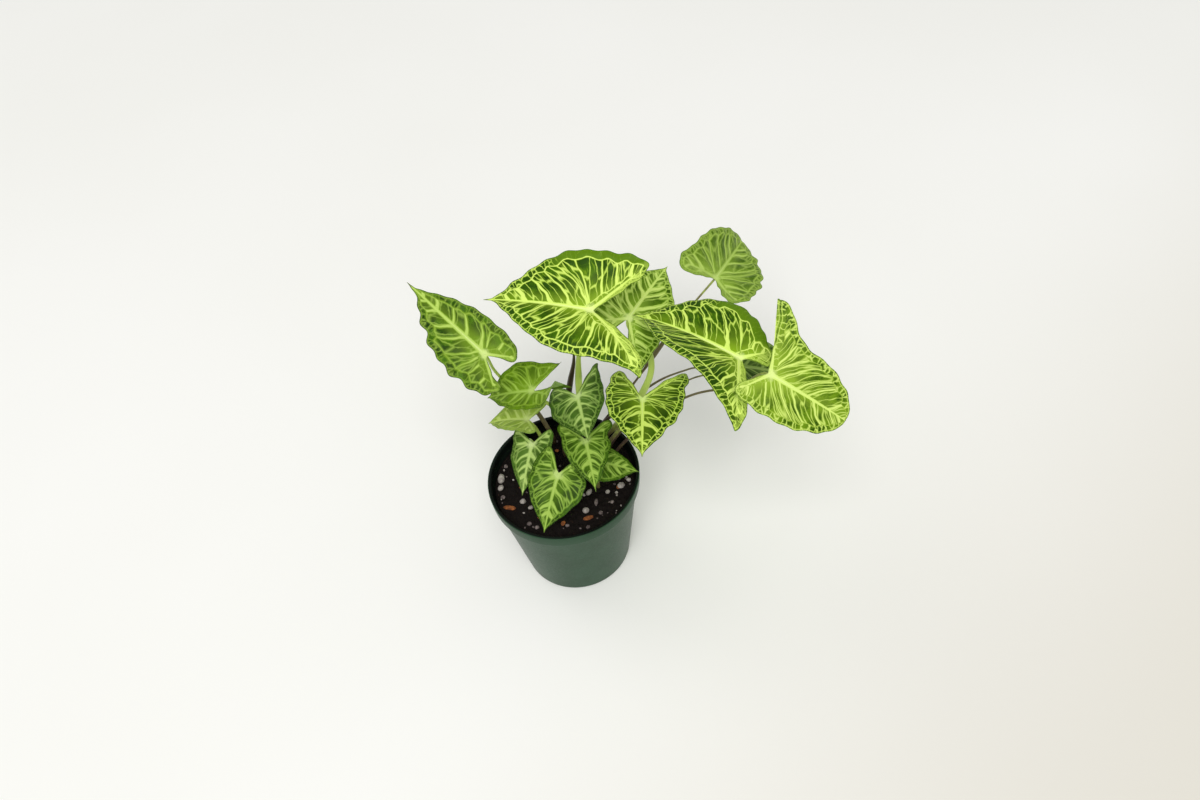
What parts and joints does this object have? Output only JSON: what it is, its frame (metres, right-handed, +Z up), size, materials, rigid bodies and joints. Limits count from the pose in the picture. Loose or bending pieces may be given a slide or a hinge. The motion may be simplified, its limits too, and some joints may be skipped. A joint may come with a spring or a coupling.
{
  "type": "potted syngonium plant",
  "caption": "Young house plant with arrow-shaped veined leaves on long petioles, in a round tapered nursery pot filled with soil.",
  "frame": {"origin": "middle of the pot's base, on the surface that it stands on", "axes": "+Z up along the pot's axis, -Y towards the front of the picture, +X to the right"},
  "size_m": [0.2609, 0.21, 0.2471],
  "materials": {
    "pot": "dark green thin moulded plastic, satin",
    "soil": "dark peat with perlite and bark, rough",
    "leaf": "green blade with lime veins, soft sheen"
  },
  "bodies": {
    "root": {"pot": "pot", "soil": "soil", "leaf_tall_left": "leaf", "leaf_top": "leaf", "leaf_back": "leaf", "leaf_right": "leaf", "leaf_far_right": "leaf", "leaf_back_right": "leaf", "leaf_under_right": "leaf", "leaf_centre": "leaf", "leaf_low_left": "leaf", "leaf_middle": "leaf", "leaf_middle_low": "leaf", "leaf_front": "leaf", "leaf_front_left": "leaf", "leaf_small_left": "leaf", "leaf_front_right": "leaf", "furled_leaf": "leaf"}
  },
  "joints": []
}
